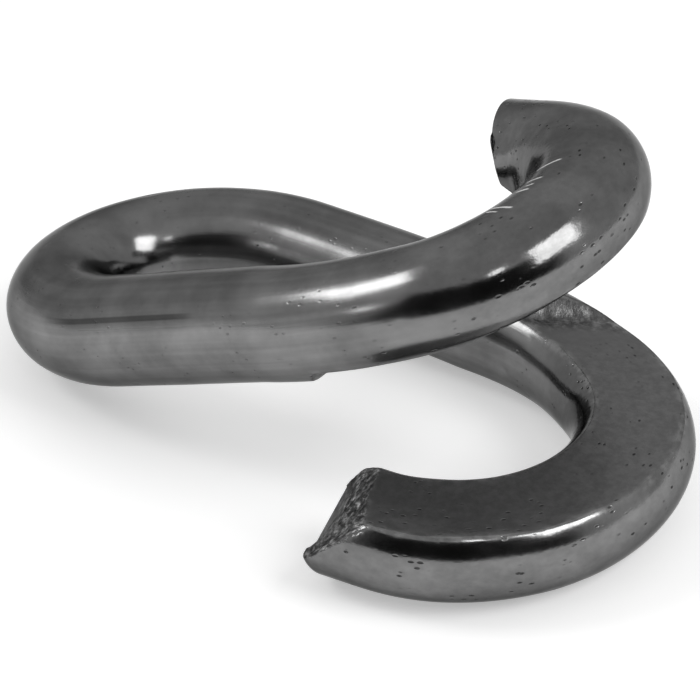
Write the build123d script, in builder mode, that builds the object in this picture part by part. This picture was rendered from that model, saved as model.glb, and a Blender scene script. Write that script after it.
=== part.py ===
"""Lap link: a round steel bar bent into a bow, with a flat-lapped hook on each leg.

The link is built about its long axis, X, with the top of the bow at the origin and the hooks
towards +X. It is then laid down the way it comes to rest, with the floor at Z = 0.
"""

from build123d import *
from itertools import pairwise
from math import cos, radians, sin, tan
from typing import NamedTuple
import os

import numpy as np
from scipy.spatial import ConvexHull


class Bend(NamedTuple):
    """One step along the bar: its run in mm, its turn, and the side it turns to, in degrees."""

    run: float
    turn: float
    side: float


class Station(NamedTuple):
    """A place on the bar's centreline, with the way it heads and the way it would first bend."""

    point: Vector
    along: Vector
    inward: Vector


class Leg(NamedTuple):
    """One leg of the link: the bends of its arm and of its hook, then its lap and its tip."""

    arm: list
    hook: list
    hook_side: float
    lap_height: float
    lap_start: float
    lap_skew: float
    tip_length: float
    tip_bevel: float
    bevel_skew: float
    end_skew: float


# Driving dimensions, in millimetres and degrees.
bar_diameter = 9.5
bow_tilt = -6.7  # the bow's top leans out of level, where the two legs part

upper_leg = Leg(
    arm=[Bend(11.1, 60.8, 1.0), Bend(9.6, 28.3, 20.7), Bend(16.7, 0.0, 0.0), Bend(1.4, 2.1, -103.0)],
    hook=[Bend(14.8, 24.3, 0.0), Bend(18.5, 90.5, 0.0), Bend(12.2, 57.0, 0.0)],
    hook_side=12.9,
    lap_height=3.0,
    lap_start=6.0,
    lap_skew=0.0,
    tip_length=3.6,
    tip_bevel=45.0,
    bevel_skew=28.0,
    end_skew=28.0,
)
lower_leg = Leg(
    arm=[Bend(11.2, 60.6, 3.4), Bend(10.4, 28.5, 20.9), Bend(18.1, 2.6, 40.5), Bend(1.1, 2.3, -114.6)],
    hook=[Bend(18.1, 33.9, 0.0), Bend(18.8, 67.8, 0.0), Bend(17.2, 73.7, 0.0)],
    hook_side=6.5,
    lap_height=3.3,
    lap_start=8.6,
    lap_skew=35.0,
    tip_length=4.5,
    tip_bevel=43.0,
    bevel_skew=-25.0,
    end_skew=0.0,
)

lap_roll = 6.0  # the flat stands higher on the inside of the hook, where bending thickened it
shoulder_slope = 50.0  # how far the shoulder leans back from square, at the start of the flat
nose_radius = 0.8

bar_radius = bar_diameter / 2


def next_station(start: Station, bend: Bend) -> Station:
    """Follow one bend and return the station at its end."""
    towards = start.inward.rotate(Axis((0, 0, 0), start.along), bend.side)
    hinge = Axis((0, 0, 0), start.along.cross(towards))
    if bend.turn == 0:
        step = start.along * bend.run
    else:
        radius = bend.run / radians(bend.turn)
        turn = radians(bend.turn)
        step = start.along * (radius * sin(turn)) + towards * (radius * (1 - cos(turn)))
    return Station(
        start.point + step,
        start.along.rotate(hinge, bend.turn),
        start.inward.rotate(hinge, bend.turn),
    )


def follow(start: Station, bends: list) -> list:
    """Return the stations at the start and at the end of every bend."""
    stations = [start]
    for bend in bends:
        stations.append(next_station(stations[-1], bend))
    return stations


def draw_centreline(stations: list, bends: list) -> None:
    """Draw a line or a tangent arc for each bend, inside the caller's BuildLine."""
    for (here, there), bend in zip(pairwise(stations), bends):
        if bend.turn == 0:
            Line(here.point, there.point)
        else:
            TangentArc(here.point, there.point, tangent=here.along)


def across(station: Station) -> Plane:
    """Return the plane that cuts the bar square at a station, with X to the inside of its hook."""
    return Plane(station.point, x_dir=station.inward, z_dir=station.along)


def make_leg(leg: Leg) -> Part:
    """Sweep the bar along one leg, press its lap flat and shear its tip."""
    tilt = radians(bow_tilt)
    bow_top = Station(Vector(0, 0, 0), Vector(0, -cos(tilt), sin(tilt)), Vector(1, 0, 0))
    arm = follow(bow_top, leg.arm)
    to_hook = arm[-1].inward.rotate(Axis((0, 0, 0), arm[-1].along), leg.hook_side)
    hook = follow(arm[-1]._replace(inward=to_hook), leg.hook)
    flat_end = hook[-1]
    tip = next_station(flat_end, Bend(leg.tip_length, 0.0, 0.0))
    trim = bar_radius * (1 + tan(radians(abs(leg.end_skew))))
    blank_run = Bend(leg.tip_length + trim, 0.0, 0.0)
    blank_end = next_station(flat_end, blank_run)

    # The pressed side faces the other leg, and its flat follows the hook round to the tip.
    with BuildPart() as pressed:
        with BuildLine() as lap_line:
            draw_centreline(hook + [blank_end], leg.hook + [blank_run])
        with BuildSketch(across(hook[0])):
            with Locations(Location((0, -leg.lap_height), -lap_roll)):
                Rectangle(1.5 * bar_diameter, bar_diameter, align=(Align.CENTER, Align.MAX))
        sweep(path=lap_line.wire())

        # It starts at a sloped shoulder across the arm, and takes in all of the hook beyond.
        first = leg.hook[0]
        start = next_station(hook[0], Bend(leg.lap_start, first.turn * leg.lap_start / first.run, 0.0))
        lap_away = start.along.cross(start.inward)
        foot = leg.lap_height * tan(radians(shoulder_slope))
        skew = bar_diameter * tan(radians(leg.lap_skew))
        reach = sum(bend.run for bend in leg.hook)
        tip_return = 1.5 * bar_diameter
        with BuildSketch(Plane(start.point, x_dir=start.along, z_dir=lap_away)):
            with BuildLine():
                Polyline(
                    (foot + skew, -bar_diameter),
                    (reach, -bar_diameter),
                    (reach, reach),
                    (-tip_return, reach),
                    (-tip_return, bar_diameter),
                    (foot - skew, bar_diameter),
                    close=True,
                )
            make_face()
        extrude(amount=-bar_diameter, taper=-shoulder_slope, mode=Mode.INTERSECT)

    with BuildPart() as bar:
        with BuildLine() as centreline:
            draw_centreline(arm + hook[1:] + [blank_end], leg.arm + leg.hook + [blank_run])
        with BuildSketch(across(bow_top)):
            Circle(bar_radius)
        sweep(path=centreline.wire())
        add(pressed.part, mode=Mode.SUBTRACT)

        # The sheared end slopes from the end of the flat to a blunt nose, each cut at its own skew.
        away = tip.along.cross(tip.inward)
        skew_axis = Axis((0, 0, 0), away)
        past_tip = leg.tip_length + 2 * trim
        bevel_out = tip.along.rotate(skew_axis, leg.bevel_skew)
        with BuildSketch(Plane(flat_end.point, x_dir=bevel_out, z_dir=away.cross(bevel_out))):
            with BuildLine():
                Polyline(
                    (0, leg.lap_height),
                    (0, bar_diameter),
                    (past_tip, bar_diameter),
                    (past_tip, leg.lap_height - past_tip * tan(radians(leg.tip_bevel))),
                    close=True,
                )
            make_face()
        extrude(amount=bar_diameter, both=True, mode=Mode.SUBTRACT)
        with BuildSketch(Plane(tip.point, x_dir=away, z_dir=tip.along.rotate(skew_axis, leg.end_skew))):
            Rectangle(2 * bar_diameter, 2 * bar_diameter)
        extrude(amount=2 * trim, mode=Mode.SUBTRACT)
        nose_height = bar_radius + leg.lap_height - leg.tip_length * tan(radians(leg.tip_bevel))
        nose_middle = tip.point + away * (bar_radius - nose_height / 2)
        end_face = bar.faces().sort_by_distance(nose_middle)[0]
        fillet(end_face.edges(), min(nose_radius, nose_height / 4))
    return bar.part


def resting_plane(link: Part) -> Plane:
    """Return the plane that the link comes to rest on, seen with up as near +Z as it goes."""
    vertices, _ = link.tessellate(0.05)
    points = np.array([tuple(vertex) for vertex in vertices])
    hull = ConvexHull(points)
    centre = np.array(tuple(link.center(CenterOf.MASS)))
    floors = []
    for corners, (*outward, offset) in zip(points[hull.simplices], hull.equations):
        outward = np.array(outward)
        below = centre - (centre @ outward + offset) * outward
        sides = np.roll(corners, -1, axis=0) - corners
        turns = np.cross(sides, below - corners) @ outward
        if (turns >= 0).all() or (turns <= 0).all():
            floors.append((outward[2], outward, below))
    _, outward, below = min(floors, key=lambda floor: floor[0])
    up = Vector(*-outward)
    long_axis = Vector(1, 0, 0)
    return Plane(Vector(*below), x_dir=long_axis - up * long_axis.dot(up), z_dir=up)


with BuildPart() as as_bent:
    add(make_leg(upper_leg))
    add(make_leg(lower_leg).rotate(Axis.X, 180))

# The floor is level and the origin is the middle of the link's box, on the floor.
laid_down = as_bent.part.moved(resting_plane(as_bent.part).location.inverse())
middle = laid_down.bounding_box().center()

with BuildPart() as lap_link:
    add(laid_down.moved(Location((-middle.X, -middle.Y, 0))))

lap_link.part.label = "lap_link"
os.makedirs("parts", exist_ok=True)
export_step(lap_link.part, "parts/lap_link.step")
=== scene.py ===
"""The looks of a lap link: a dark steel bar bent into a bow with two flat-lapped hooks.

The bar is swept along its bends by Geometry Nodes, which also press the laps flat, shear the
tips and raise the fine relief that drawing and forging leave on the steel. It lies where the
packed link lies, on a pale floor under soft studio light.
"""

import logging
from dataclasses import dataclass
from enum import Enum
from functools import reduce
from math import cos, pi, radians, sin, sqrt, tan
from typing import Any, Sequence, Union

import bpy
from mathutils import Matrix, Vector


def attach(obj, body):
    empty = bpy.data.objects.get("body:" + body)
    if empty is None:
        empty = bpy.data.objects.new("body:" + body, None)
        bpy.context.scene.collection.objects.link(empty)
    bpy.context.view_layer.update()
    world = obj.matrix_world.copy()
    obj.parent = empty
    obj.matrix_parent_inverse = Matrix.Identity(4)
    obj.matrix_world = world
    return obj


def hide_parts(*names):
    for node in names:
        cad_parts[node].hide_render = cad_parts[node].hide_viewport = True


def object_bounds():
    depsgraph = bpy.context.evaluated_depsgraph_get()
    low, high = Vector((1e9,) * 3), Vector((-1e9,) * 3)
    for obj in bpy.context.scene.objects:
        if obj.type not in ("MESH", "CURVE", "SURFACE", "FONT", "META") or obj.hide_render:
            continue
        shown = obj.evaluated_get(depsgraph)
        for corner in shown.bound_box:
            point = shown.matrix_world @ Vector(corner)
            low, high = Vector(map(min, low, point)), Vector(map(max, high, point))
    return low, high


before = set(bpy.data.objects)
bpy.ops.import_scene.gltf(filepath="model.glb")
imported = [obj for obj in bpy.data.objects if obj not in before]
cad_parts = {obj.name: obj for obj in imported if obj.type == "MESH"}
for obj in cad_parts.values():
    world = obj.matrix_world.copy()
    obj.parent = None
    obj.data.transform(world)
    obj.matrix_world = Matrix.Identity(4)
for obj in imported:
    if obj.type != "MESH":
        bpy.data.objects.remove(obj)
cad_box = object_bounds()

MM = 0.001
LOG = logging.getLogger("lap_link")
Socket = bpy.types.NodeSocket
Value = Union[Socket, float, Sequence[float]]


class Side(Enum):
    """The two legs of the link, by where their hooks lie."""

    UPPER = "upper"
    LOWER = "lower"


class Mark(Enum):
    """Point attributes that the swept bar hands to its finish."""

    PLACE = "bar_place"
    LAP = "lap"
    EDGE = "lap_edge"
    SHEAR = "shear"
    SHOULDER = "shoulder"


@dataclass(frozen=True)
class Grain:
    """One noise: patches per metre, layers, how rough they are, and its squeeze along the bar."""

    scale: float
    detail: float = 3.0
    roughness: float = 0.5
    squeeze: float = 1.0


@dataclass(frozen=True)
class Relief:
    """A noise that lifts and lowers the surface, and how deep it goes, in metres."""

    grain: Grain
    depth: float


@dataclass(frozen=True)
class Pits:
    """Scattered spots: spots per metre, their squeeze along the bar, and their rim, in cells."""

    scale: float
    rim: tuple[float, float]
    squeeze: float = 1.0


class NodeBench:
    """Adds nodes to one tree and wires them, so that a formula reads as calls."""

    def __init__(self, tree: bpy.types.NodeTree) -> None:
        """Keep the tree that nodes are added to.

        Args:
            tree: A shader or geometry node tree.
        """
        self.tree = tree

    def add(self, kind: str, **settings: Any) -> bpy.types.Node:
        """Add a node.

        Args:
            kind: The node's type name.
            settings: Properties to set on it.

        Returns:
            The new node.
        """
        node = self.tree.nodes.new(kind)
        for name, value in settings.items():
            setattr(node, name, value)
        return node

    def feed(self, socket: Socket, value: Value) -> None:
        """Give an input socket a link or a constant."""
        if isinstance(value, bpy.types.NodeSocket):
            self.tree.links.new(value, socket)
        elif isinstance(value, (int, float)) and hasattr(socket.default_value, "__len__"):
            socket.default_value = [value] * len(socket.default_value)
        else:
            socket.default_value = value

    def math(self, operation: str, *values: Value, clamp: bool = False) -> Socket:
        """Return the result of a Math node."""
        node = self.add("ShaderNodeMath", operation=operation, use_clamp=clamp)
        for socket, value in zip(node.inputs, values):
            self.feed(socket, value)
        return node.outputs[0]

    def vector(self, operation: str, *values: Value) -> Socket:
        """Return the result of a Vector Math node, whichever output it uses."""
        node = self.add("ShaderNodeVectorMath", operation=operation)
        slots = [node.inputs[0], node.inputs[3]] if operation == "SCALE" else node.inputs
        for socket, value in zip(slots, values):
            self.feed(socket, value)
        return node.outputs["Value" if operation in ("DOT_PRODUCT", "LENGTH") else "Vector"]

    def times(self, *values: Value) -> Socket:
        """Return the product of the values."""
        return reduce(lambda total, value: self.math("MULTIPLY", total, value), values)

    def plus(self, *values: Value) -> Socket:
        """Return the sum of the values."""
        return reduce(lambda total, value: self.math("ADD", total, value), values)

    def minus(self, first: Value, second: Value) -> Socket:
        """Return the first value less the second."""
        return self.math("SUBTRACT", first, second)

    def size(self, value: Value) -> Socket:
        """Return the value without its sign."""
        return self.math("ABSOLUTE", value)

    def joined(self, x: Value = 0.0, y: Value = 0.0, z: Value = 0.0) -> Socket:
        """Return a vector made of three values."""
        node = self.add("ShaderNodeCombineXYZ")
        for socket, value in zip(node.inputs, (x, y, z)):
            self.feed(socket, value)
        return node.outputs["Vector"]

    def ramp(self, value: Value, start: float, end: float, low: float = 0.0, high: float = 1.0) -> Socket:
        """Return value carried smoothly from start..end to low..high, and held beyond them."""
        node = self.add("ShaderNodeMapRange", interpolation_type="SMOOTHSTEP")
        names = ("Value", "From Min", "From Max", "To Min", "To Max")
        for name, given in zip(names, (value, start, end, low, high)):
            self.feed(node.inputs[name], given)
        return node.outputs["Result"]

    def band(self, value: Socket, low: float, high: float, soft: float) -> Socket:
        """Return 1 between low and high, falling to 0 over a soft border on both sides.

        Args:
            value: What is compared.
            low: Where the band starts.
            high: Where the band ends.
            soft: The width of each border.

        Returns:
            The mask.
        """
        return self.times(self.ramp(value, low - soft, low), self.ramp(value, high, high + soft, 1.0, 0.0))

    def squeezed(self, place: Socket, squeeze: float) -> Socket:
        """Return a place on the bar with its run squeezed, which draws a texture out along it."""
        return place if squeeze == 1.0 else self.vector("MULTIPLY", place, (1.0, 1.0, squeeze))

    def noise(self, place: Socket, grain: Grain) -> Socket:
        """Return a noise value about one half."""
        node = self.add("ShaderNodeTexNoise")
        self.feed(node.inputs["Vector"], self.squeezed(place, grain.squeeze))
        self.feed(node.inputs["Scale"], grain.scale)
        self.feed(node.inputs["Detail"], grain.detail)
        self.feed(node.inputs["Roughness"], grain.roughness)
        return node.outputs[0]

    def relief(self, place: Socket, relief: Relief) -> Socket:
        """Return a height about zero."""
        return self.times(self.minus(self.noise(place, relief.grain), 0.5), relief.depth)

    def spots(self, place: Socket, pits: Pits) -> Socket:
        """Return 1 inside scattered spots, falling to 0 at their rims."""
        node = self.add("ShaderNodeTexVoronoi", feature="F1")
        self.feed(node.inputs["Vector"], self.squeezed(place, pits.squeeze))
        self.feed(node.inputs["Scale"], pits.scale)
        return self.ramp(node.outputs["Distance"], *pits.rim, 1.0, 0.0)


@dataclass(frozen=True)
class Bend:
    """One step along the bar: its run in metres, its turn, and the side it turns to, in degrees."""

    run: float
    turn: float
    side: float = 0.0


@dataclass(frozen=True)
class Station:
    """A place on the bar's centreline, with the way it heads and the way it would first bend."""

    point: Vector
    along: Vector
    inward: Vector

    def after(self, bend: Bend, share: float = 1.0) -> "Station":
        """Follow a bend, or a share of it.

        Args:
            bend: The bend that starts here.
            share: How much of it to follow, from 0 to 1.

        Returns:
            The station reached.
        """
        towards = Matrix.Rotation(radians(bend.side), 3, self.along) @ self.inward
        turn = radians(bend.turn) * share
        if turn:
            radius = bend.run * share / turn
            step = self.along * (radius * sin(turn)) + towards * (radius * (1 - cos(turn)))
        else:
            step = self.along * (bend.run * share)
        swing = Matrix.Rotation(turn, 3, self.along.cross(towards))
        return Station(self.point + step, swing @ self.along, swing @ self.inward)

    def moved(self, matrix: Matrix) -> "Station":
        """Return this station carried by a turn about the origin."""
        return Station(matrix @ self.point, matrix @ self.along, matrix @ self.inward)


@dataclass(frozen=True)
class Leg:
    """One leg of the link: the bends of its arm and of its hook, then its lap and its tip."""

    side: Side
    arm: tuple[Bend, ...]
    hook: tuple[Bend, ...]
    hook_side: float
    lap_height: float
    lap_start: float
    lap_skew: float
    tip_length: float
    tip_bevel: float
    bevel_skew: float
    end_skew: float
    nose_round: float
    half_end: float = 6.0 * MM
    tip_fineness: float = 3.0

    @property
    def sign(self) -> float:
        """The sign of this leg's run from the top of the bow."""
        return 1.0 if self.side is Side.UPPER else -1.0

    def turned_to_hook(self, arm_end: Station) -> Station:
        """Return the arm's last station with its inward side turned into the hook's plane."""
        inward = Matrix.Rotation(radians(self.hook_side), 3, arm_end.along) @ arm_end.inward
        return Station(arm_end.point, arm_end.along, inward)

    def stations(self, top: Station, spacing: float) -> list[tuple[float, Station]]:
        """Walk along the leg in even steps, and in steps a third as long past the flat.

        Args:
            top: The station at the top of the bow.
            spacing: The longest step, in metres.

        Returns:
            The run from the top of the bow and the station there, out to the uncut end.
        """
        here, run, walked = top, 0.0, [(0.0, top)]
        past_flat = (Bend(self.tip_length + self.trim, 0.0),)
        parts = ((self.arm, spacing), (self.hook, spacing), (past_flat, spacing / self.tip_fineness))
        for part, (bends, step) in enumerate(parts):
            if part == 1:
                here = self.turned_to_hook(here)
            for bend in bends:
                count = max(1, round(bend.run / step))
                for share in (done / count for done in range(1, count + 1)):
                    walked.append((run + bend.run * share, here.after(bend, share)))
                here, run = here.after(bend), run + bend.run
        return walked

    @property
    def arm_run(self) -> float:
        """Run from the top of the bow to the end of the arm."""
        return sum(bend.run for bend in self.arm)

    @property
    def shoulder_run(self) -> float:
        """Run from the top of the bow to the start of the flat."""
        return self.arm_run + self.lap_start

    @property
    def flat_run(self) -> float:
        """Run from the top of the bow to the end of the flat."""
        return sum(bend.run for bend in (*self.arm, *self.hook))

    @property
    def trim(self) -> float:
        """How far the bar runs on past the tip before its end is cut askew."""
        return self.half_end * tan(radians(abs(self.end_skew)))

    @property
    def tip_run(self) -> float:
        """Run from the top of the bow to the end of the uncut bar."""
        return self.flat_run + self.tip_length + self.trim


@dataclass
class LapLink:
    """The whole link: its bar and its two legs, in metres and degrees."""

    bar_radius: float = 4.75 * MM
    bow_tilt: float = -6.7
    lap_roll: float = 6.0
    shoulder_slope: float = 50.0
    press_spread: float = 0.07
    spread_rise: float = 8.0 * MM
    spread_fall: float = 6.0 * MM
    arris_round: float = 0.22 * MM
    ring_spacing: float = 0.36 * MM
    sides: int = 150
    relief_seed: int = 7
    lap_wear: Relief = Relief(Grain(260.0), 0.25 * MM)
    torn: Relief = Relief(Grain(700.0, 4.0, 0.6), 0.55 * MM)
    swell: Relief = Relief(Grain(110.0, 2.0), 0.12 * MM)
    drawn: Relief = Relief(Grain(420.0, 2.0, squeeze=0.06), 0.05 * MM)
    scuffs: Relief = Relief(Grain(1100.0, 3.0, 0.7), 0.35 * MM)
    pits: Pits = Pits(420.0, rim=(0.05, 0.2))
    pit_patches: Grain = Grain(150.0, 1.0)
    pit_depth: float = 0.07 * MM
    rest_pitch: float = 10.434
    rest_roll: float = 7.637
    rest_place: tuple[float, float] = (-29.412 * MM, 3.373 * MM)
    legs: tuple[Leg, ...] = (
        Leg(
            side=Side.UPPER,
            arm=(
                Bend(11.1 * MM, 60.8, 1.0),
                Bend(9.6 * MM, 28.3, 20.7),
                Bend(16.7 * MM, 0.0),
                Bend(1.4 * MM, 2.1, -103.0),
            ),
            hook=(Bend(14.8 * MM, 24.3), Bend(18.5 * MM, 90.5), Bend(12.2 * MM, 57.0)),
            hook_side=12.9,
            lap_height=3.0 * MM,
            lap_start=6.0 * MM,
            lap_skew=0.0,
            tip_length=3.6 * MM,
            tip_bevel=45.0,
            bevel_skew=28.0,
            end_skew=28.0,
            nose_round=0.3 * MM,
        ),
        Leg(
            side=Side.LOWER,
            arm=(
                Bend(11.2 * MM, 60.6, 3.4),
                Bend(10.4 * MM, 28.5, 20.9),
                Bend(18.1 * MM, 2.6, 40.5),
                Bend(1.1 * MM, 2.3, -114.6),
            ),
            hook=(Bend(18.1 * MM, 33.9), Bend(18.8 * MM, 67.8), Bend(17.2 * MM, 73.7)),
            hook_side=6.5,
            lap_height=3.3 * MM,
            lap_start=8.6 * MM,
            lap_skew=35.0,
            tip_length=4.5 * MM,
            tip_bevel=43.0,
            bevel_skew=-25.0,
            end_skew=0.0,
            nose_round=1.4 * MM,
        ),
    )

    def bow_top(self) -> Station:
        """Return the station at the top of the bow, heading down the upper leg."""
        tilt = radians(self.bow_tilt)
        return Station(Vector((0, 0, 0)), Vector((0, -cos(tilt), sin(tilt))), Vector((1, 0, 0)))

    def lie(self, leg: Leg) -> Matrix:
        """Return the turn that takes a leg, built as the upper one, to where it lies at rest."""
        pitch = Matrix.Rotation(radians(-self.rest_pitch), 3, "Y")
        roll = Matrix.Rotation(radians(-self.rest_roll), 3, "X")
        half_turn = Matrix.Rotation(pi, 3, "X") if leg.side is Side.LOWER else Matrix.Identity(3)
        return pitch @ roll @ half_turn

    def thickness(self, leg: Leg, run: float) -> float:
        """Return the bar's relative thickness, which rounds off into the nose at the tip."""
        left = leg.tip_run - run
        if left >= leg.nose_round:
            return 1.0
        fall = leg.nose_round - sqrt(max(leg.nose_round**2 - (leg.nose_round - left) ** 2, 0.0))
        return 1.0 - fall / self.bar_radius

    def centreline(self) -> bpy.types.Object:
        """Draw the bar's centreline as a string of edges, from the lower tip to the upper one.

        Returns:
            A mesh object. Its points carry the signed run from the top of the bow, the ways to
            the inside of the hook and away from the flat, the bar's relative thickness, and two
            ways across the bar that don't jump where the bends change sides.
        """
        rows = []
        hook_start = 0.001 * MM
        for leg in sorted(self.legs, key=lambda leg: leg.sign):
            lie = self.lie(leg)
            walked = leg.stations(self.bow_top(), self.ring_spacing)
            for run, here in walked[1:] if leg.side is Side.UPPER else walked[::-1]:
                there = here.moved(lie)
                turned_back = -leg.hook_side if run > leg.arm_run + hook_start else 0.0
                drawn = Matrix.Rotation(radians(turned_back), 3, there.along) @ there.inward
                ways = (there.inward, there.along.cross(there.inward))
                steady_ways = (drawn, there.along.cross(drawn) * leg.sign)
                rows.append((there.point, run * leg.sign, *ways, self.thickness(leg, run), *steady_ways))
        mesh = bpy.data.meshes.new("centreline")
        mesh.from_pydata([row[0] for row in rows], [(i, i + 1) for i in range(len(rows) - 1)], [])
        names = ("run", "inward", "away", "thickness", "drawn", "beside")
        for column, name in enumerate(names, start=1):
            kind = "FLOAT" if name in ("run", "thickness") else "FLOAT_VECTOR"
            values = mesh.attributes.new(name, kind, "POINT").data
            for item, row in zip(values, rows):
                setattr(item, "value" if kind == "FLOAT" else "vector", row[column])
        line = bpy.data.objects.new("centreline", mesh)
        bpy.context.scene.collection.objects.link(line)
        return line

    def build(self, finish: bpy.types.Material) -> bpy.types.Object:
        """Sweep and dress the bar.

        Args:
            finish: The steel's material.

        Returns:
            The finished piece as a plain mesh, in the frame.
        """
        line = self.centreline()
        modifier = line.modifiers.new("bent_bar", "NODES")
        tree = BarTree(self, finish).tree
        modifier.node_group = tree
        sizes = {
            "Bar radius": self.bar_radius,
            "Sides": self.sides,
            "Arris round": self.arris_round,
            "Seed": float(self.relief_seed),
        }
        for socket in tree.interface.items_tree:
            if socket.in_out == "INPUT" and socket.name in sizes:
                modifier[socket.identifier] = sizes[socket.name]
        mesh = bpy.data.meshes.new_from_object(line.evaluated_get(bpy.context.evaluated_depsgraph_get()))
        bpy.data.objects.remove(line)
        lift = cad_box[0][2] - min(vertex.co.z for vertex in mesh.vertices)
        mesh.transform(Matrix.Translation((*self.rest_place, lift)))
        piece = bpy.data.objects.new("bent_bar", mesh)
        bpy.context.scene.collection.objects.link(piece)
        return piece


class BarTree:
    """The Geometry Nodes that sweep, press, shear and roughen the bar.

    Each rim is the stretch, in metres, over which a mark comes up or fades.
    """

    lap_rim = (-0.1 * MM, 0.3 * MM)
    edge_rim = (0.1 * MM, 0.6 * MM)
    shoulder_rim = (0.5 * MM, 3.0 * MM)
    shear_rim = (0.0, 0.3 * MM)
    pit_patch_rim = (0.5, 0.62)

    def __init__(self, link: LapLink, finish: bpy.types.Material) -> None:
        """Build the tree.

        Args:
            link: The link whose bar it makes.
            finish: The material that it sets.
        """
        self.link = link
        self.tree = bpy.data.node_groups.new("bent_bar", "GeometryNodeTree")
        self.bench = NodeBench(self.tree)
        face = self.tree.interface
        face.new_socket("Centreline", in_out="INPUT", socket_type="NodeSocketGeometry")
        face.new_socket("Bar radius", in_out="INPUT", socket_type="NodeSocketFloat")
        face.new_socket("Sides", in_out="INPUT", socket_type="NodeSocketInt")
        face.new_socket("Arris round", in_out="INPUT", socket_type="NodeSocketFloat")
        face.new_socket("Seed", in_out="INPUT", socket_type="NodeSocketFloat")
        face.new_socket("Bar", in_out="OUTPUT", socket_type="NodeSocketGeometry")
        self.given = self.bench.add("NodeGroupInput").outputs
        bar = self.spread(self.sweep())
        for leg in link.legs:
            bar = self.shear_tip(self.press_lap(bar, leg), leg)
            if leg.end_skew:
                bar = self.cut_end(bar, leg)
        bar = self.roughen(bar)
        realized = self.bench.add("GeometryNodeRealizeInstances")
        self.bench.feed(realized.inputs["Geometry"], bar)
        smooth = self.bench.add("GeometryNodeSetShadeSmooth")
        self.bench.feed(smooth.inputs["Geometry"], realized.outputs["Geometry"])
        dressed = self.bench.add("GeometryNodeSetMaterial")
        self.bench.feed(dressed.inputs["Geometry"], smooth.outputs["Geometry"])
        dressed.inputs["Material"].default_value = finish
        self.bench.feed(self.bench.add("NodeGroupOutput").inputs["Bar"], dressed.outputs["Geometry"])

    def stored(self, geometry: Socket, name: str, value: Value, kind: str = "FLOAT") -> Socket:
        """Store a named attribute on points and return the geometry."""
        node = self.bench.add("GeometryNodeStoreNamedAttribute", data_type=kind, domain="POINT")
        self.bench.feed(node.inputs["Geometry"], geometry)
        self.bench.feed(node.inputs["Name"], name)
        self.bench.feed(node.inputs["Value"], value)
        return node.outputs["Geometry"]

    def named(self, name: str, kind: str = "FLOAT") -> Socket:
        """Return a named attribute's value."""
        node = self.bench.add("GeometryNodeInputNamedAttribute", data_type=kind)
        self.bench.feed(node.inputs["Name"], name)
        return node.outputs["Attribute"]

    def moved(self, geometry: Socket, offset: Socket) -> Socket:
        """Return the geometry with every point moved by an offset."""
        node = self.bench.add("GeometryNodeSetPosition")
        self.bench.feed(node.inputs["Geometry"], geometry)
        self.bench.feed(node.inputs["Offset"], offset)
        return node.outputs["Geometry"]

    def sweep(self) -> Socket:
        """Sweep the round section and store each point's place on the unbent bar."""
        bench = self.bench
        centre = bench.add("GeometryNodeInputPosition").outputs["Position"]
        line = self.stored(self.given["Centreline"], "centre", centre, "FLOAT_VECTOR")
        curve = bench.add("GeometryNodeMeshToCurve")
        bench.feed(curve.inputs["Mesh"], line)
        ring = bench.add("GeometryNodeCurvePrimitiveCircle", mode="RADIUS")
        bench.feed(ring.inputs["Resolution"], self.given["Sides"])
        bench.feed(ring.inputs["Radius"], self.given["Bar radius"])
        tube = bench.add("GeometryNodeCurveToMesh")
        bench.feed(tube.inputs["Curve"], curve.outputs["Curve"])
        bench.feed(tube.inputs["Profile Curve"], ring.outputs["Curve"])
        bench.feed(tube.inputs["Scale"], self.named("thickness"))
        bench.feed(tube.inputs["Fill Caps"], True)
        place = bench.joined(self.towards("drawn"), self.towards("beside"), self.named("run"))
        return self.stored(tube.outputs["Mesh"], Mark.PLACE.value, place, "FLOAT_VECTOR")

    def off_centre(self) -> Socket:
        """Return the step from the centreline's own point to a point of the bar."""
        position = self.bench.add("GeometryNodeInputPosition").outputs["Position"]
        return self.bench.vector("SUBTRACT", position, self.named("centre", "FLOAT_VECTOR"))

    def towards(self, way: str) -> Socket:
        """Return how far a point lies from the centreline, one way across the bar."""
        return self.bench.vector("DOT_PRODUCT", self.off_centre(), self.named(way, "FLOAT_VECTOR"))

    def along(self) -> Socket:
        """Return the way that the bar heads, towards its tip."""
        ways = (self.named(way, "FLOAT_VECTOR") for way in ("inward", "away"))
        return self.bench.vector("CROSS_PRODUCT", *ways)

    def run_of(self, leg: Leg) -> Socket:
        """Return the run from the top of the bow, counted up towards a leg's tip."""
        return self.bench.times(self.named("run"), leg.sign)

    def marked(self, bar: Socket, mark: Mark, leg: Leg, value: Socket) -> Socket:
        """Store one leg's share of a mark."""
        return self.stored(bar, f"{mark.value}_{leg.side.value}", value)

    def frame_vector(self, parts: Sequence[tuple[str, float]]) -> Socket:
        """Return a sum of the bar's own ways, each with its share."""
        bench, total = self.bench, None
        for way, share in parts:
            term = bench.vector("SCALE", self.named(way, "FLOAT_VECTOR"), share)
            total = term if total is None else bench.vector("ADD", total, term)
        return total

    def spread(self, bar: Socket) -> Socket:
        """Widen the bar across its hooks, where pressing pushed the steel out sideways.

        Args:
            bar: The swept bar.

        Returns:
            The bar with its hooks widened.
        """
        bench, link = self.bench, self.link
        for leg in link.legs:
            run = self.run_of(leg)
            rise = bench.ramp(run, leg.shoulder_run, leg.shoulder_run + link.spread_rise)
            fall = bench.ramp(run, leg.flat_run - link.spread_fall, leg.flat_run, 1.0, 0.0)
            push = bench.times(rise, fall, self.towards("inward"), link.press_spread)
            bar = self.moved(bar, bench.vector("SCALE", self.named("inward", "FLOAT_VECTOR"), push))
        return bar

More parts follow.
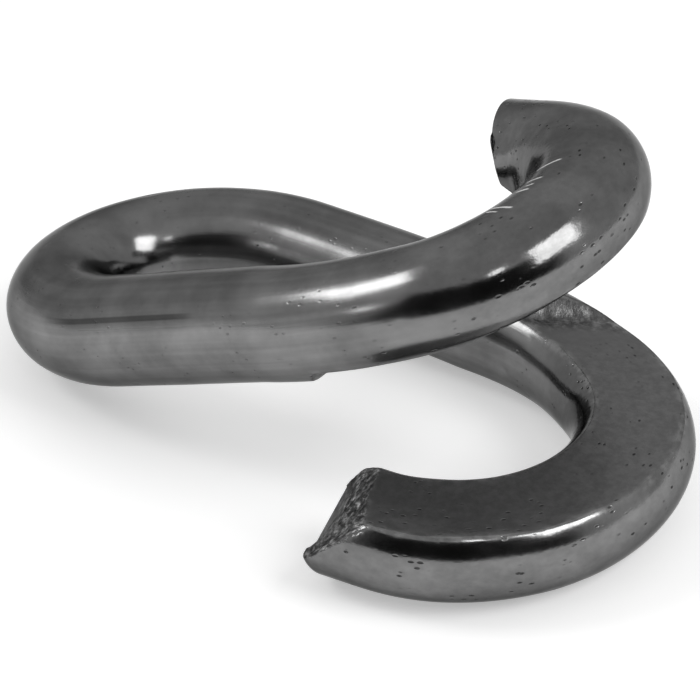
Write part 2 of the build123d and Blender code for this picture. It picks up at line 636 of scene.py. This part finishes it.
    def press_lap(self, bar: Socket, leg: Leg) -> Socket:
        """Press one leg's lap flat.

        Args:
            bar: The swept bar.
            leg: The leg to press.

        Returns:
            The bar with that leg pressed, and its marks stored.
        """
        bench, link = self.bench, self.link
        edge, roll = self.given["Arris round"], radians(link.lap_roll)
        inward, away = self.towards("inward"), self.towards("away")
        wear = bench.relief(self.named(Mark.PLACE.value, "FLOAT_VECTOR"), link.lap_wear)
        rise = bench.minus(bench.times(inward, -sin(roll)), bench.times(away, cos(roll)))
        over = bench.minus(bench.plus(rise, wear), leg.lap_height * cos(roll))
        skewed = bench.plus(self.run_of(leg), bench.times(inward, tan(radians(leg.lap_skew))))
        before = bench.minus(leg.shoulder_run, skewed)
        behind = bench.math("SMOOTH_MAX", before, 0.0, edge)
        over = bench.minus(over, bench.math("DIVIDE", behind, tan(radians(link.shoulder_slope))))
        depth = bench.math("SMOOTH_MAX", over, 0.0, edge)
        bar = self.marked(bar, Mark.LAP, leg, bench.ramp(over, *self.lap_rim))
        bar = self.marked(bar, Mark.EDGE, leg, bench.ramp(bench.size(over), *self.edge_rim, 1.0, 0.0))
        shoulder = bench.ramp(bench.size(before), *self.shoulder_rim, 1.0, 0.0)
        bar = self.marked(bar, Mark.SHOULDER, leg, shoulder)
        down = self.frame_vector((("inward", -sin(roll)), ("away", -cos(roll))))
        return self.moved(bar, bench.vector("SCALE", down, bench.times(depth, -1.0)))

    def near_tip(self, leg: Leg) -> Socket:
        """Return 1 on the part of the bar that the tip's cuts may reach."""
        return self.bench.math("GREATER_THAN", self.run_of(leg), leg.flat_run - 1.5 * self.link.bar_radius)

    def shear_tip(self, bar: Socket, leg: Leg) -> Socket:
        """Shear one leg's tip to a wedge, with a torn face.

        Args:
            bar: The bar, its lap pressed.
            leg: The leg to shear.

        Returns:
            The bar with that tip sheared, and its mark stored.
        """
        bench, link = self.bench, self.link
        bevel, skew = radians(leg.tip_bevel), radians(leg.bevel_skew)
        beyond = bench.times(bench.minus(self.run_of(leg), leg.flat_run), cos(skew))
        beyond = bench.plus(beyond, bench.times(self.towards("inward"), sin(skew)))
        drop = bench.times(bench.plus(self.towards("away"), leg.lap_height), cos(bevel))
        torn = bench.relief(self.named(Mark.PLACE.value, "FLOAT_VECTOR"), link.torn)
        cut = bench.plus(bench.minus(bench.times(beyond, sin(bevel)), drop), torn)
        late = self.near_tip(leg)
        shear = bench.times(bench.math("SMOOTH_MAX", cut, 0.0, self.given["Arris round"]), late)
        bar = self.marked(bar, Mark.SHEAR, leg, bench.times(bench.ramp(cut, *self.shear_rim), late))
        level = self.frame_vector((("inward", sin(skew) * sin(bevel)), ("away", -cos(bevel))))
        out = bench.vector("ADD", bench.vector("SCALE", self.along(), cos(skew) * sin(bevel)), level)
        return self.moved(bar, bench.vector("SCALE", out, bench.times(shear, -1.0)))

    def cut_end(self, bar: Socket, leg: Leg) -> Socket:
        """Cut one leg's uncut end askew, through the middle of its tip.

        Args:
            bar: The bar, its tip sheared.
            leg: The leg to cut.

        Returns:
            The bar with that end cut.
        """
        bench = self.bench
        ahead = bench.vector("DOT_PRODUCT", self.off_centre(), self.along())
        past = bench.minus(bench.plus(self.run_of(leg), ahead), leg.flat_run + leg.tip_length)
        past = bench.plus(past, bench.times(self.towards("inward"), tan(radians(leg.end_skew))))
        extra = bench.math("SMOOTH_MAX", past, 0.0, self.given["Arris round"])
        extra = bench.times(extra, self.near_tip(leg))
        return self.moved(bar, bench.vector("SCALE", self.along(), bench.times(extra, -1.0)))

    def both(self, mark: Mark) -> Socket:
        """Return a mark's value on whichever leg has it."""
        upper, lower = (self.named(f"{mark.value}_{side.value}") for side in Side)
        return self.bench.math("MAXIMUM", upper, lower)

    def roughen(self, bar: Socket) -> Socket:
        """Raise the relief that drawing, forging and shearing leave.

        Args:
            bar: The pressed bar.

        Returns:
            The bar with its relief.
        """
        for mark in (Mark.LAP, Mark.EDGE, Mark.SHEAR, Mark.SHOULDER):
            bar = self.stored(bar, mark.value, self.both(mark))
        bench, link = self.bench, self.link
        seeded = bench.joined(self.given["Seed"])
        place = bench.vector("ADD", self.named(Mark.PLACE.value, "FLOAT_VECTOR"), seeded)
        lap, shoulder = self.named(Mark.LAP.value), self.named(Mark.SHOULDER.value)
        drawn = bench.times(bench.relief(place, link.drawn), bench.minus(1.0, lap))
        scuffs = bench.times(bench.relief(place, link.scuffs), shoulder, lap)
        pits = bench.times(bench.spots(place, link.pits), -link.pit_depth)
        pits = bench.times(pits, bench.ramp(bench.noise(place, link.pit_patches), *self.pit_patch_rim))
        height = bench.plus(bench.relief(place, link.swell), drawn, scuffs, pits)
        normal = bench.add("GeometryNodeInputNormal").outputs["Normal"]
        return self.moved(bar, bench.vector("SCALE", normal, height))


@dataclass(frozen=True)
class ReflectionStreak:
    """One painted reflection streak along the bar: a darker line or a lighter band.

    Its place is across the bar, away from the flat; its span is the run along the upper leg.
    """

    away: float
    width: float
    start: float
    end: float
    tone: float


@dataclass(frozen=True)
class Scratch:
    """One short scratch across the back of the upper hook, in metres: its middle and its size."""

    run: float
    inward: float
    length: float
    width: float


@dataclass(frozen=True)
class DarkSteel:
    """Self-colour forged steel, smooth and half polished, with drawing lines, scratches and pits, painted
    reflection streaks along the upper arm and a painted highlight along the lap's arris.
    """

    tone: float = 0.18
    pit_tone: float = 0.03
    pit_strength: float = 0.85
    arm_pits: float = 0.35
    # Painted highlight along the lap's arris: the tone the base colour is lightened towards, and how far.
    arris_highlight_tone: float = 0.62
    arris_highlight_share: float = 0.22
    scuff_strength: float = 0.4
    roughness: float = 0.15
    arm_roughness: float = 0.22
    flat_roughness: float = 0.38
    torn_roughness: float = 0.42
    rim_tint: tuple[float, float, float, float] = (0.45, 0.45, 0.45, 1.0)
    arm: tuple[float, float] = (10 * MM, 50 * MM)
    arm_border: float = 6 * MM
    hook_rim: tuple[float, float] = (52 * MM, 60 * MM)
    streak_border: float = 4 * MM
    patches: Grain = Grain(140.0, 5.0, 0.62)
    grain: Grain = Grain(2600.0, 3.0, 0.7)
    specks: Grain = Grain(1300.0, 4.0, 0.7)
    dents: Grain = Grain(560.0, 4.0, 0.55)
    # Noise that breaks up the painted highlight along the lap's arris.
    arris_highlight_breaks: Grain = Grain(700.0, 4.0, 0.7)
    pits: Pits = Pits(1700.0, rim=(0.1, 0.24), squeeze=0.6)
    pit_patches: Grain = Grain(300.0, 2.0)
    broad_lines: Grain = Grain(420.0, 3.0, squeeze=0.025)
    fine_lines: Grain = Grain(2000.0, 2.0, squeeze=0.012)
    ragged_lines: Grain = Grain(900.0, 2.0, squeeze=0.025)
    drawn_lines: Grain = Grain(1500.0, 3.0, 0.6, squeeze=0.03)
    line_height: float = 0.012 * MM
    grain_height: float = 0.0025 * MM
    flat_height: float = 0.004 * MM
    torn_height: float = 0.16 * MM
    dent_height: float = 0.03 * MM
    flat_dent_height: float = 0.008 * MM
    pit_depth: float = 0.03 * MM
    scratch_height: float = 0.02 * MM
    # Painted reflection streaks along the upper arm: darker lines and a lighter band at fixed places across
    # the bar.
    reflection_streaks: tuple[ReflectionStreak, ...] = (
        ReflectionStreak(away=2.3 * MM, width=0.3 * MM, start=20 * MM, end=32 * MM, tone=0.5),
        ReflectionStreak(away=1.2 * MM, width=1.0 * MM, start=18 * MM, end=46 * MM, tone=1.14),
        ReflectionStreak(away=3.4 * MM, width=0.6 * MM, start=16 * MM, end=40 * MM, tone=0.86),
        ReflectionStreak(away=-1.4 * MM, width=0.8 * MM, start=18 * MM, end=42 * MM, tone=0.85),
    )
    scratch_tone: float = 0.95
    scratch_slant: float = 66.0
    scratch_waver: Relief = Relief(Grain(1500.0, 2.0), 0.18 * MM)
    scratch_taper: float = 0.3 * MM
    scratch_rim: float = 0.07 * MM
    scratch_marks: tuple[Scratch, ...] = (
        Scratch(run=69.8 * MM, inward=-0.3 * MM, length=2.4 * MM, width=0.15 * MM),
        Scratch(run=67.2 * MM, inward=-0.3 * MM, length=1.7 * MM, width=0.13 * MM),
        Scratch(run=66.3 * MM, inward=-0.5 * MM, length=1.0 * MM, width=0.12 * MM),
        Scratch(run=65.4 * MM, inward=-0.45 * MM, length=1.4 * MM, width=0.17 * MM),
        Scratch(run=62.7 * MM, inward=-0.8 * MM, length=2.4 * MM, width=0.13 * MM),
        Scratch(run=61.9 * MM, inward=-0.6 * MM, length=1.5 * MM, width=0.08 * MM),
    )

    def mixed(self, bench: NodeBench, share: Value, low: Value, high: Value) -> Socket:
        """Return low where the share is 0, high where it is 1, and a blend between them."""
        node = bench.add("ShaderNodeMix", data_type="FLOAT")
        bench.feed(node.inputs[0], share)
        bench.feed(node.inputs[2], low)
        bench.feed(node.inputs[3], high)
        return node.outputs[0]

    def drawn_and_streak_tone(self, bench: NodeBench, place: Socket, ways: Sequence[Socket]) -> Socket:
        """Return the tone that the drawing lines and the painted reflection streaks give the arms, about 1.

        Args:
            bench: The material's bench.
            place: The place on the bar.
            ways: The same place as its inward, away and run.

        Returns:
            The tone.
        """
        inward, away, run = ways
        tone = bench.ramp(bench.noise(place, self.broad_lines), 0.3, 0.7, 0.84, 1.16)
        tone = bench.times(tone, bench.ramp(bench.noise(place, self.fine_lines), 0.3, 0.7, 0.95, 1.05))
        ragged = bench.ramp(bench.noise(place, self.ragged_lines), 0.3, 0.6, 0.35, 1.0)
        outer = bench.math("LESS_THAN", inward, 0.0)
        # Painted reflection: darker lines and a lighter band at fixed places across the outer side of the
        # arm.
        for mark in self.reflection_streaks:
            half = mark.width / 2
            share = bench.band(away, mark.away - half, mark.away + half, 0.8 * half)
            span = bench.band(run, mark.start, mark.end, self.streak_border)
            share = bench.times(share, span, ragged, outer)
            tone = bench.times(tone, self.mixed(bench, share, 1.0, mark.tone))
        return tone

    def scratches(self, bench: NodeBench, ways: Sequence[Socket]) -> Socket:
        """Return the mask of the short bright scratches across the back of the upper hook.

        Args:
            bench: The material's bench.
            ways: The place on the bar as its inward, away and run.

        Returns:
            The mask.
        """
        inward, away, run = ways
        lean, rise = sin(radians(self.scratch_slant)), cos(radians(self.scratch_slant))
        waver = bench.relief(bench.joined(inward, run), self.scratch_waver)
        masks = []
        for scratch in self.scratch_marks:
            ahead, beside = bench.minus(run, scratch.run), bench.minus(inward, scratch.inward)
            stroke = bench.size(bench.minus(bench.times(ahead, rise), bench.times(beside, lean)))
            off = bench.size(bench.plus(bench.times(ahead, lean), bench.times(beside, rise), waver))
            end, side = scratch.length / 2, scratch.width / 2
            long_enough = bench.ramp(stroke, end - self.scratch_taper, end, 1.0, 0.0)
            masks.append(bench.times(long_enough, bench.ramp(off, side, side + self.scratch_rim, 1.0, 0.0)))
        total = reduce(lambda first, second: bench.math("MAXIMUM", first, second), masks)
        return bench.times(total, bench.math("GREATER_THAN", away, 0.0))

    def material(self) -> bpy.types.Material:
        """Build the procedural material.

        Returns:
            The material.
        """
        material = bpy.data.materials.new("dark_steel")
        material.use_nodes = True
        bench = NodeBench(material.node_tree)
        shader = material.node_tree.nodes["Principled BSDF"]
        marks = {}
        for mark in Mark:
            node = bench.add("ShaderNodeAttribute", attribute_name=mark.value)
            marks[mark] = node.outputs["Vector" if mark is Mark.PLACE else "Fac"]
        place, lap = marks[Mark.PLACE], marks[Mark.LAP]
        parts = bench.add("ShaderNodeSeparateXYZ")
        bench.feed(parts.inputs[0], place)
        ways = tuple(parts.outputs)
        reach = bench.size(parts.outputs["Z"])
        on_arm = bench.times(bench.band(reach, *self.arm, self.arm_border), bench.minus(1.0, lap))
        on_hook = bench.ramp(reach, *self.hook_rim)
        scuffed = bench.times(marks[Mark.SHOULDER], lap, self.scuff_strength)
        torn = bench.math("MAXIMUM", marks[Mark.SHEAR], scuffed)

        patches, specks = bench.noise(place, self.patches), bench.noise(place, self.specks)
        pit_here = bench.ramp(bench.noise(place, self.pit_patches), 0.46, 0.6)
        pits = bench.times(bench.spots(place, self.pits), pit_here)
        pits = bench.times(pits, self.mixed(bench, on_hook, self.arm_pits, 1.0))
        scratched = self.scratches(bench, ways)

        cloudy = self.mixed(bench, lap, bench.ramp(patches, 0.3, 0.7, 0.78, 1.22), 1.0)
        # The arm's tone: drawing lines from noise, with the painted reflection streaks.
        drawn = self.mixed(bench, on_arm, 1.0, self.drawn_and_streak_tone(bench, place, ways))
        pressed = self.mixed(bench, lap, 1.0, bench.ramp(specks, 0.25, 0.75, 0.97, 1.1))
        bent = self.mixed(bench, on_hook, 1.0, bench.ramp(specks, 0.3, 0.7, 0.92, 1.08))
        sparkle = self.mixed(bench, torn, 1.0, bench.ramp(specks, 0.42, 0.7, 0.4, 2.6))
        tone = bench.times(cloudy, self.tone, drawn, pressed, bent, sparkle)
        # Painted highlight: the base colour is lightened along the lap's arris, broken up by noise.
        highlight_breaks = bench.ramp(bench.noise(place, self.arris_highlight_breaks), 0.45, 0.65)
        arris_highlight = bench.times(marks[Mark.EDGE], highlight_breaks, self.arris_highlight_share)
        tone = self.mixed(bench, arris_highlight, tone, self.arris_highlight_tone)
        tone = self.mixed(bench, scratched, tone, self.scratch_tone)
        tone = self.mixed(bench, bench.times(pits, self.pit_strength), tone, self.pit_tone)
        colour = bench.add("ShaderNodeCombineColor")
        for socket in colour.inputs:
            bench.feed(socket, tone)
        bench.feed(shader.inputs["Base Color"], colour.outputs["Color"])

        rough = bench.ramp(patches, 0.3, 0.7, self.roughness - 0.03, self.roughness + 0.06)
        rough = self.mixed(bench, on_arm, rough, self.arm_roughness)
        rough = self.mixed(bench, lap, rough, self.flat_roughness)
        rough = self.mixed(bench, torn, rough, self.torn_roughness)
        rough = self.mixed(bench, bench.math("MAXIMUM", pits, scratched), rough, self.torn_roughness)
        bench.feed(shader.inputs["Roughness"], rough)
        bench.feed(shader.inputs["Metallic"], 1.0)
        bench.feed(shader.inputs["Specular Tint"], self.rim_tint)

        dent_height = self.mixed(bench, lap, self.dent_height, self.flat_dent_height)
        height = bench.plus(
            bench.times(bench.noise(place, self.drawn_lines), on_arm, self.line_height),
            bench.times(bench.noise(place, self.grain), self.grain_height),
            bench.times(specks, lap, self.flat_height),
            bench.times(specks, torn, self.torn_height),
            bench.times(bench.noise(place, self.dents), on_hook, dent_height),
            bench.times(pits, -self.pit_depth),
            bench.times(scratched, self.scratch_height),
        )
        bump = bench.add("ShaderNodeBump")
        bench.feed(bump.inputs["Height"], height)
        bench.feed(bump.inputs["Distance"], 1.0)
        bench.feed(bump.inputs["Strength"], 1.0)
        bench.feed(shader.inputs["Normal"], bump.outputs["Normal"])
        return material


@dataclass(frozen=True)
class Studio:
    """The pale floor, the soft light and the camera."""

    floor_size: float = 3.0
    floor_colour: tuple[float, float, float, float] = (0.8, 0.8, 0.8, 1.0)
    azimuth: float = 38.770
    elevation: float = 29.940
    roll: float = -2.327
    distance: float = 0.308054
    lens: float = 190.903
    aim: tuple[float, float, float] = (0.00346, -0.00123, 0.00943)
    floor_lift: float = 0.38
    surround: float = 0.6
    dark_wall: float = 0.02
    wall_azimuth: float = 38.0
    wall_half_width: float = 57.0
    wall_fade: float = 8.0
    wall_top: tuple[float, float] = (36.0, 43.0)
    lamp_distance: float = 0.9
    lamps: tuple[tuple[str, float, float, float, float], ...] = (
        ("right_softbox", 94.0, 41.0, 0.46, 5.0),
        ("left_softbox", -62.0, 43.0, 0.3, 6.0),
        ("left_strip", -26.0, 23.0, 0.07, 8.0),
        ("front_strip", 47.0, 44.0, 0.1, 6.0),
    )

    def camera(self) -> None:
        """Stand the camera where it looks down on the link."""
        turn, lift = radians(self.azimuth), radians(self.elevation)
        back = Vector((sin(turn) * cos(lift), -cos(turn) * cos(lift), sin(lift)))
        data = bpy.data.cameras.new("camera")
        data.lens = self.lens
        data.sensor_width = 36.0
        data.clip_start = 0.01
        camera = bpy.data.objects.new("camera", data)
        bpy.context.scene.collection.objects.link(camera)
        level = back.to_track_quat("Z", "Y")
        tilt = Matrix.Rotation(radians(self.roll), 3, "Z").to_quaternion()
        camera.rotation_euler = (level @ tilt).to_euler()
        camera.location = Vector(self.aim) + back * self.distance
        bpy.context.scene.camera = camera

    def floor(self) -> None:
        """Lay the floor."""
        half = self.floor_size / 2
        mesh = bpy.data.meshes.new("floor")
        corners = [(-half, -half, 0), (half, -half, 0), (half, half, 0), (-half, half, 0)]
        mesh.from_pydata(corners, [], [(0, 1, 2, 3)])
        floor = bpy.data.objects.new("floor", mesh)
        bpy.context.scene.collection.objects.link(floor)
        material = bpy.data.materials.new("pale_floor")
        material.use_nodes = True
        shader = material.node_tree.nodes["Principled BSDF"]
        shader.inputs["Base Color"].default_value = self.floor_colour
        shader.inputs["Roughness"].default_value = 0.9
        bench = NodeBench(material.node_tree)
        seen = bench.add("ShaderNodeLightPath").outputs
        lit = bench.math("MAXIMUM", seen["Is Camera Ray"], seen["Is Glossy Ray"])
        bench.feed(shader.inputs["Emission Color"], (1.0, 1.0, 1.0, 1.0))
        bench.feed(shader.inputs["Emission Strength"], bench.times(lit, self.floor_lift))
        mesh.materials.append(material)

    def world(self) -> None:
        """Light the scene from a soft grey surround."""
        world = bpy.data.worlds.new("studio")
        world.use_nodes = True
        bpy.context.scene.world = world
        bench = NodeBench(world.node_tree)
        background = world.node_tree.nodes["Background"]
        way = bench.add("ShaderNodeTexCoord").outputs["Generated"]
        level = bench.vector("NORMALIZE", bench.vector("MULTIPLY", way, (1.0, 1.0, 0.0)))
        turn, half = radians(self.wall_azimuth), self.wall_half_width
        facing = bench.vector("DOT_PRODUCT", level, (sin(turn), -cos(turn), 0.0))
        parts = bench.add("ShaderNodeSeparateXYZ")
        bench.feed(parts.inputs[0], way)
        sides = (cos(radians(half + self.wall_fade)), cos(radians(half - self.wall_fade)))
        tops = (sin(radians(height)) for height in self.wall_top)
        top = bench.ramp(parts.outputs["Z"], *tops, 1.0, 0.0)
        wall = bench.times(bench.ramp(facing, *sides), top)
        bench.feed(background.inputs["Color"], (1.0, 1.0, 1.0, 1.0))
        light = bench.minus(self.surround, bench.times(wall, self.surround - self.dark_wall))
        bench.feed(background.inputs["Strength"], light)

    def lamp(self, name: str, azimuth: float, elevation: float, size: float, radiance: float) -> None:
        """Hang a square lamp that faces the link.

        Args:
            name: The lamp's name.
            azimuth: Its bearing in degrees, counted like the camera's.
            elevation: Its height in degrees above the floor.
            size: Its side in metres.
            radiance: How bright its face looks.
        """
        turn, lift = radians(azimuth), radians(elevation)
        back = Vector((sin(turn) * cos(lift), -cos(turn) * cos(lift), sin(lift)))
        data = bpy.data.lights.new(name, "AREA")
        data.size = size
        data.energy = radiance * pi * size**2
        lamp = bpy.data.objects.new(name, data)
        lamp.location = back * self.lamp_distance
        lamp.rotation_euler = back.to_track_quat("Z", "Y").to_euler()
        bpy.context.scene.collection.objects.link(lamp)

    def build(self) -> None:
        """Set up the whole studio."""
        self.camera()
        self.floor()
        self.world()
        for lamp in self.lamps:
            self.lamp(*lamp)
        bpy.context.scene.view_settings.view_transform = "Standard"


def main() -> None:
    """Build the link and its studio, and report each piece."""
    logging.basicConfig(level=logging.INFO)
    Studio().build()
    link = LapLink()
    piece = link.build(DarkSteel().material())
    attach(piece, "root")
    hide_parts("lap_link")
    LOG.info("%s has %d faces", piece.name, len(piece.data.polygons))


if __name__ == "__main__":
    main()
